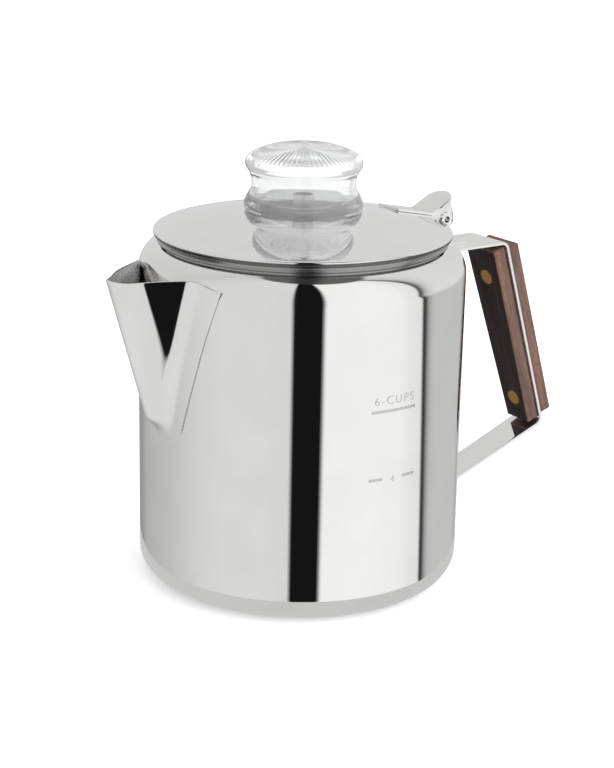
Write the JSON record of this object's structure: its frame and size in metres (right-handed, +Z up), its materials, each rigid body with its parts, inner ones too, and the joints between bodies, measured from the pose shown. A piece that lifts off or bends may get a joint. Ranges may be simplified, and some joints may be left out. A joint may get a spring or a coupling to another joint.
{
  "type": "coffee percolator",
  "caption": "Stovetop coffee percolator with a folded spout, strap handle with wood grips, hinged lid, clear twist-on top, pump tube and perforated basket.",
  "frame": {"origin": "on the surface the pot stands on, on the pot's axis", "axes": "+Z up along the pot's axis, +X towards the handle, -X towards the spout, Y across the handle and along the lid's hinge pin"},
  "size_m": [0.21, 0.125, 0.1687],
  "materials": {
    "polished_steel": "mirror-polished stainless steel with fine drawing marks",
    "bright_steel": "bright stainless steel strap",
    "rosewood": "dark red-brown hardwood, fine straight grain, oiled",
    "brass": "polished brass",
    "clear_plastic": "clear moulded plastic",
    "tube_aluminium": "satin drawn aluminium",
    "basket_aluminium": "satin spun aluminium"
  },
  "bodies": {
    "pot": {"pot_body": "polished_steel", "pot_floor": "polished_steel", "spout": "polished_steel", "handle_strap": "bright_steel", "inner_grip": "rosewood", "outer_grip": "rosewood", "rivet_posts": "brass", "rivet_sleeves": "brass", "hinge_bracket": "bright_steel"},
    "lid": {"lid": "polished_steel", "lid_skirt": "polished_steel", "hinge_leaf": "bright_steel", "hinge_pin": "bright_steel"},
    "top": {"clear_top": "clear_plastic"},
    "pump": {"pump_tube": "tube_aluminium", "pump_bell": "tube_aluminium", "valve_seat": "tube_aluminium", "stem_collar": "tube_aluminium"},
    "valve": {"valve_disc": "tube_aluminium"},
    "basket": {"basket": "basket_aluminium", "basket_tube": "basket_aluminium"},
    "cover": {"spreader": "basket_aluminium"}
  },
  "joints": [
    {"name": "lid_hinge", "type": "hinge", "parent": "pot", "child": "lid", "pos_m": [0.06425, 0, 0.1339], "axis": [0, 1, 0], "range_deg": [0, 110]},
    {"name": "top_twist", "type": "hinge", "parent": "lid", "child": "top", "pos_m": [0, 0, 0.1433], "axis": [0, 0, 1], "range_deg": [0, 60]},
    {"name": "pump_lift", "type": "slide", "parent": "pot", "child": "pump", "axis": [0, 0, 1], "range_m": [0, 0.004]},
    {"name": "valve_play", "type": "slide", "parent": "pump", "child": "valve", "axis": [0, 0, 1], "range_m": [0, 0.002]},
    {"name": "basket_lift", "type": "slide", "parent": "pump", "child": "basket", "axis": [0, 0, 1], "range_m": [0, 0.004]},
    {"name": "cover_lift", "type": "slide", "parent": "basket", "child": "cover", "axis": [0, 0, 1], "range_m": [0, 0.004]}
  ]
}
